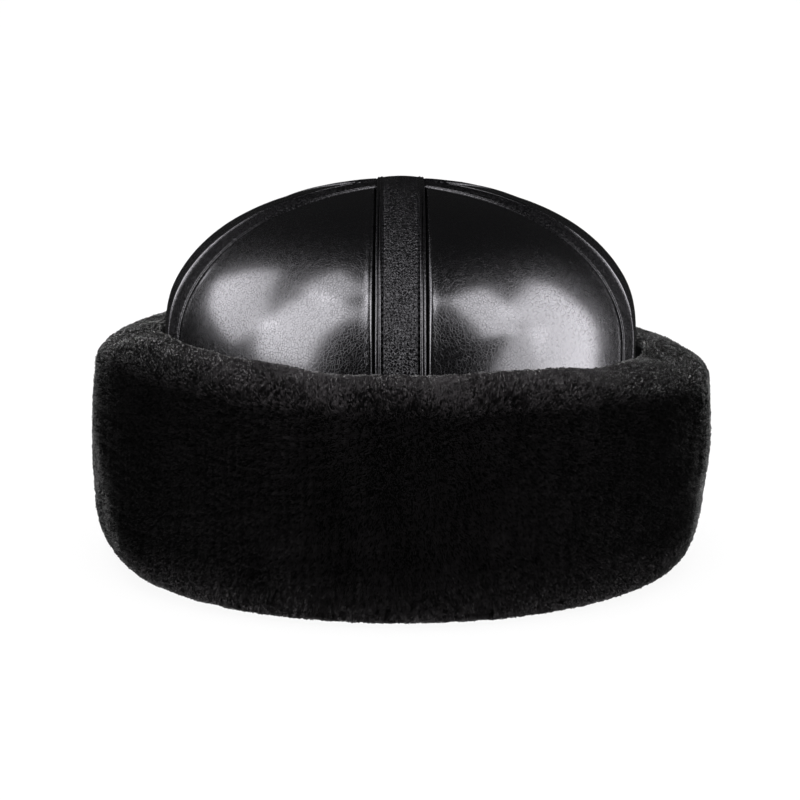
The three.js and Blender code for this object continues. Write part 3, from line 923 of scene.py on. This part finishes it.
def fold_push(places):
    """A short slanting fold in the front of the rim: a crease with the fur above it raised."""
    across = (places[:, 0] - CROWN_SHIFT[0]) / MM
    front = smooth_rise(-places[:, 1], 90 * MM, 100 * MM)
    run = np.clip((across - FOLD["from"][0]) / (FOLD["to"][0] - FOLD["from"][0]), -0.5, 1.5)
    line = FOLD["from"][1] + (FOLD["to"][1] - FOLD["from"][1]) * run
    above = places[:, 2] / MM - line
    here = smooth_rise(run, -0.12, 0.15) * (1 - smooth_rise(run, 0.8, 1.15)) * front
    crease = -FOLD["deep"] * np.exp(-(above / 0.8) ** 2)
    raised = FOLD["raised"] * smooth_rise(above, 0.0, 1.6) * (1 - smooth_rise(above, 2.5, 7.0))
    return here * (crease + raised) * MM


coat_form = add_coat_form()
tips, coat_normals, coat_row = scatter_on(coat_form, HAIRS)
bpy.data.objects.remove(coat_form)
# No pile stands on the part that lies against the crown
open_coat = coat_row < sum(COAT_ROWS.values()) - COAT_ROWS["inside"] + 0.5
tips, coat_normals, coat_row = tips[open_coat], coat_normals[open_coat], coat_row[open_coat]
outward = (tips - CROWN_SHIFT) * np.array([1.0, 1.0, 0.0])
if (coat_normals * outward).sum(axis=1).mean() < 0:
    coat_normals = -coat_normals
lean = crossed_waves(tips, HAIR_LEAN) + HAIR_STRAY * rng.normal(size=tips.shape)
lean[:, 2] -= BRUSHED_DOWN
direction = unit(coat_normals + lean)
rise = TUFT_RISE * np.tanh(crossed_waves(tips, TUFTS)[:, 0])
rise += UNEVEN_CUT * rng.normal(size=len(tips))
tips += coat_normals * rise[:, None]
tips += coat_normals * fold_push(tips)[:, None]
roots = tips - direction * HAIR_LONG
# Where the cuff stands on the ground its hairs are pressed flat
tips[:, 2] = np.maximum(tips[:, 2], TIPS_OFF_GROUND)
roots[:, 2] = np.maximum(roots[:, 2], ROOTS_OFF_GROUND)
side = unit(np.cross(direction, rng.normal(size=roots.shape)))
corners_at = [roots, tips - side * HAIR_WIDE / 2, tips + side * HAIR_WIDE / 2]
# Each hair is cut blunt and shaded as a soft part of the coat, mostly by the lie of the surface
hair_lie = coat_normals + HAIR_SHARE * (direction - coat_normals)
soft_normals = [hair_lie, hair_lie - side * HAIR_ROUNDNESS, hair_lie + side * HAIR_ROUNDNESS]
fur_pile = fur_material(
    "fur_pile", (0.0024, 0.0021, 0.0023), (0.0092, 0.0083, 0.0088), 0.6, 0.2)
pile_tree = fur_pile.node_tree
pile_hair = pile_tree.nodes["Principled BSDF"]
coat_lie = add_node(pile_tree, "Attribute", attribute_name="coat_normal")
to_world = add_node(pile_tree, "VectorTransform", vector_type="NORMAL", convert_from="OBJECT",
                    convert_to="WORLD")
pile_tree.links.new(coat_lie.outputs["Vector"], to_world.inputs[0])
pile_tree.links.new(to_world.outputs[0], pile_hair.inputs["Normal"])
# The coat's tone, with painted light and shade in it: 1 at the middle and less toward the two
# sides, a painted shade on the sides. Its tips are painted lighter where it rolls over the front of
# the rim and on top of the rim, where light from behind and above falls, and along the edge that
# the hat stands on, where light thrown up off the floor falls. For each: how much lighter, from and
# to which lie of the coat, the share of it that is left at the sides, and where it falls off to
# that share, in metres from the middle.
SIDE_PAINTED_SHADE, SIDE_FALL = 0.55, (0.05, 0.1)
PAINTED_LIGHT_ON_TIPS = {
    "rim_front": (5.6, (0.02, 0.45), 0.15, (0.045, 0.095)),
    "rim_top": (4.5, (0.7, 1.0), 0.0, (0.05, 0.1)),
    "foot": (2.0, (0.08, 0.6), 1.0, (0.05, 0.1)),
}
lie_ways = add_node(pile_tree, "SeparateXYZ")
pile_tree.links.new(coat_lie.outputs["Vector"], lie_ways.inputs[0])
coat_place = add_node(pile_tree, "SeparateXYZ")
pile_tree.links.new(pile_tree.nodes["Texture Coordinate"].outputs["Object"], coat_place.inputs[0])
from_middle = add_math(pile_tree, "ABSOLUTE", coat_place.outputs["X"], 0.0)
forward_and_up = add_math(pile_tree, "MULTIPLY", lie_ways.outputs["Y"], lie_ways.outputs["Z"])
lies = {
    "rim_front": add_math(pile_tree, "MULTIPLY", forward_and_up, -1.0),
    "rim_top": lie_ways.outputs["Z"],
    "foot": add_math(pile_tree, "MULTIPLY", lie_ways.outputs["Z"], -1.0),
}
# Painted shade: the coat's colour is made darker toward its two sides
tone = ranged(pile_tree, from_middle, 1.0, SIDE_PAINTED_SHADE, *SIDE_FALL)
# Painted light: each part lightens the colour of the tips where light falls on the rim and the foot
for part, (lighter, lie_range, at_sides, fall) in PAINTED_LIGHT_ON_TIPS.items():
    wear_and_painted_light = add_math(pile_tree, "MULTIPLY", ranged(pile_tree, lies[part], 0.0, lighter, *lie_range),
                    ranged(pile_tree, from_middle, 1.0, at_sides, *fall))
    tone = add_math(pile_tree, "ADD", tone, wear_and_painted_light)
toned = add_node(pile_tree, "VectorMath", operation="SCALE")
pile_tree.links.new(pile_hair.inputs["Base Color"].links[0].from_socket, toned.inputs["Vector"])
pile_tree.links.new(tone, toned.inputs["Scale"])
pile_tree.links.new(toned.outputs[0], pile_hair.inputs["Base Color"])
turn = np.degrees(np.arctan2(tips[:, 0], -tips[:, 1]))
row_share = coat_row / sum(COAT_ROWS.values())
for name, (first, last) in PILE_SECTORS.items():
    chosen = (turn - first) % 360 < (last - first) % 360
    count = int(chosen.sum())
    places = np.stack([corner[chosen] for corner in corners_at], 1)
    mesh = bpy.data.meshes.new("fur_pile_" + name)
    mesh.vertices.add(count * 3)
    mesh.vertices.foreach_set("co", places.ravel())
    mesh.loops.add(count * 3)
    mesh.loops.foreach_set("vertex_index", np.arange(count * 3))
    mesh.polygons.add(count)
    mesh.polygons.foreach_set("loop_start", np.arange(0, count * 3, 3))
    mesh.update(calc_edges=True)
    mesh.shade_smooth()
    normals = unit(np.stack([normal[chosen] for normal in soft_normals], 1).reshape(-1, 3))
    lie_of_coat = mesh.attributes.new("coat_normal", "FLOAT_VECTOR", "POINT")
    lie_of_coat.data.foreach_set("vector", normals.ravel())
    lie = mesh.uv_layers.new(name="OFBake")
    across = ((turn[chosen] - first) % 360) / (last - first)
    level = row_share[chosen]
    spot = np.stack([across, level], -1)[:, None, :] * 0.98 + 0.01
    spread = np.array([[-0.0006, -0.0006], [0.0006, -0.0006], [0.0, 0.0008]])
    lie.data.foreach_set("uv", (spot + spread[None]).ravel())
    mesh.materials.append(fur_pile)
    pile = bpy.data.objects.new("fur_pile_" + name, mesh)
    scene.collection.objects.link(pile)
    pile.visible_glossy = False
    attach(pile, "root")

# The set: a plain white floor that runs back out of view, soft boxes either side of the front and
# a weak sky, so that the black leather shows two broad highlights and its top stays dark.
bpy.ops.mesh.primitive_plane_add(size=60.0, location=(0.0, 20.0, 0.0))
floor = bpy.context.active_object
floor.name = "floor"
floor_paint, floor_tree, floor_skin = new_material("floor_white")
floor_seen = add_node(floor_tree, "LightPath").outputs["Is Camera Ray"]
floor_tone = blend(floor_tree, floor_seen, (0.12, 0.12, 0.12), (0.9, 0.9, 0.9))
floor_tree.links.new(floor_tone, floor_skin.inputs["Base Color"])
floor_skin.inputs["Roughness"].default_value = 0.8
floor_skin.inputs["Specular IOR Level"].default_value = 0.1
floor.data.materials.append(floor_paint)
floor.visible_glossy = False

scene.view_settings.view_transform = "Standard"
scene.view_settings.look = "None"
world = bpy.data.worlds.new("studio")
world.use_nodes = True
sky = world.node_tree.nodes["Background"]
sky.inputs["Color"].default_value = (1.0, 1.0, 1.0, 1.0)
sky_seen = add_node(world.node_tree, "LightPath").outputs["Is Camera Ray"]
sky_power = ranged(world.node_tree, sky_seen, 0.01, 1.0)
world.node_tree.links.new(sky_power, sky.inputs["Strength"])
scene.world = world

# Soft boxes for the leather alone, all equally far from the hat: where each stands round it and
# above it in degrees, its width and height in metres, its roll in degrees and how bright its face
# is. Each fades to its edges.
SOFT_BOXES = {
    "soft_box_left": (-57.0, 27.0, 0.80, 1.76, -7.0, 6.4),
    "soft_box_low_left": (-99.0, 26.0, 1.18, 0.8, -36.0, 4.1),
    "soft_box_top_left": (-68.0, 66.0, 0.5, 0.45, 0.0, 4.2),
    "soft_box_right": (54.0, 42.0, 0.52, 1.1, -4.0, 6.0),
    "soft_box_low_right": (90.0, 7.0, 0.98, 2.2, 2.0, 5.5),
    "soft_box_front_right": (62.0, 2.0, 0.5, 0.9, -20.0, 3.8),
}
SOFT_DISTANCE = 1.1
SOFT_AIM = Vector((0.0, 0.0, 0.09))
SOFT_EDGE = 0.16
SOFT_TINT = (0.96, 0.94, 1.0)


def group_of(name, pieces):
    """A group of pieces that a lamp can be kept to."""
    group = bpy.data.collections.new(name)
    for piece in pieces:
        group.objects.link(piece)
    return group


def hang_lamp(lamp, lit, shaded_by=None):
    """Puts a lamp in the scene that lights only a group of pieces."""
    holder = bpy.data.objects.new(lamp.name, lamp)
    holder.light_linking.receiver_collection = lit
    holder.light_linking.blocker_collection = shaded_by
    scene.collection.objects.link(holder)
    return holder


def way_out(azimuth, elevation):
    """The direction from the hat to a lamp, from degrees round the hat and above it."""
    azimuth, elevation = math.radians(azimuth), math.radians(elevation)
    return Vector((math.sin(azimuth) * math.cos(elevation),
                   -math.cos(azimuth) * math.cos(elevation), math.sin(elevation)))


leather_only = group_of("leather_only", [
    piece for piece in scene.objects
    if piece.name.startswith(("leather_", "band_", "center_strap_"))])
for name, (azimuth, elevation, width, height, roll, brightness) in SOFT_BOXES.items():
    lamp = bpy.data.lights.new(name, "AREA")
    lamp.shape = "RECTANGLE"
    lamp.size = width
    lamp.size_y = height
    lamp.energy = brightness * math.pi * width * height
    lamp.color = SOFT_TINT
    lamp.use_nodes = True
    cloth_tree = lamp.node_tree
    face = add_node(cloth_tree, "SeparateXYZ")
    cloth_tree.links.new(add_node(cloth_tree, "NewGeometry").outputs["Parametric"], face.inputs[0])
    fades = [ranged(cloth_tree, add_math(cloth_tree, "PINGPONG", face.outputs[axis], 0.5),
                    0.0, 1.0, 0.0, SOFT_EDGE, smooth=True) for axis in ("X", "Y")]
    cloth_tree.links.new(add_math(cloth_tree, "MULTIPLY", *fades),
                         cloth_tree.nodes["Emission"].inputs["Strength"])
    box = hang_lamp(lamp, leather_only, leather_only)
    box.location = SOFT_AIM + SOFT_DISTANCE * way_out(azimuth, elevation)
    facing = (SOFT_AIM - box.location).to_track_quat("-Z", "Y").to_matrix()
    box.rotation_euler = (facing @ Matrix.Rotation(math.radians(roll), 3, "Z")).to_euler()
    box.visible_camera = False

# Lamps for the floor alone, straight down: a strong one without shadows keeps the ground white to
# the horizon, and a weak broad one lays the soft shadow round the cuff.
floor_only = group_of("floor_only", [floor])
floor_light = bpy.data.lights.new("floor_sun", "SUN")
floor_light.energy = 3.3
floor_light.use_shadow = False
hang_lamp(floor_light, floor_only)
shadow_light = bpy.data.lights.new("floor_shadow_sun", "SUN")
shadow_light.energy = 0.35
shadow_light.angle = math.radians(60)
hang_lamp(shadow_light, floor_only)

# Lamps for the fur alone: one from behind picks out its rim and its edges and casts shadows of the
# fur only; faint ones from above, in front and below keep its dark sides from going quite black.
# Each has its direction round the hat and above it in degrees, its angle and its strength.
FUR_LAMPS = {
    "fur_back_light": (172.0, 38.0, 44.0, 28.0),
    "fur_front_light": (0.0, 15.0, 70.0, 3.4),
    "fur_top_light": (0.0, 86.0, 50.0, 9.0),
    "fur_floor_light": (0.0, -68.0, 40.0, 12.0),
}
fur_only = group_of("fur_only", [piece for piece in scene.objects if piece.name.startswith("fur_")])
for name, (azimuth, elevation, angle, strength) in FUR_LAMPS.items():
    lamp = bpy.data.lights.new(name, "SUN")
    lamp.energy = strength
    lamp.angle = math.radians(angle)
    sun = hang_lamp(lamp, fur_only, fur_only)
    sun.rotation_euler = (-way_out(azimuth, elevation)).to_track_quat("-Z", "Y").to_euler()

# The camera: where the photo was taken from, 1.13 m in front of the hat and a little above it,
# through a long lens that looks about ten degrees down.
CAMERA_PLACE = Vector((0.0, -1.128, 0.2699))
CAMERA_AIM = Vector((-0.0005, 0.0, 0.06154))
lens = bpy.data.cameras.new("photo_camera")
lens.sensor_width = 36.0
lens.lens = 122.5
lens.clip_end = 200.0
camera = bpy.data.objects.new("photo_camera", lens)
camera.location = CAMERA_PLACE
camera.rotation_euler = (CAMERA_AIM - camera.location).to_track_quat("-Z", "Y").to_euler()
scene.collection.objects.link(camera)
scene.camera = camera
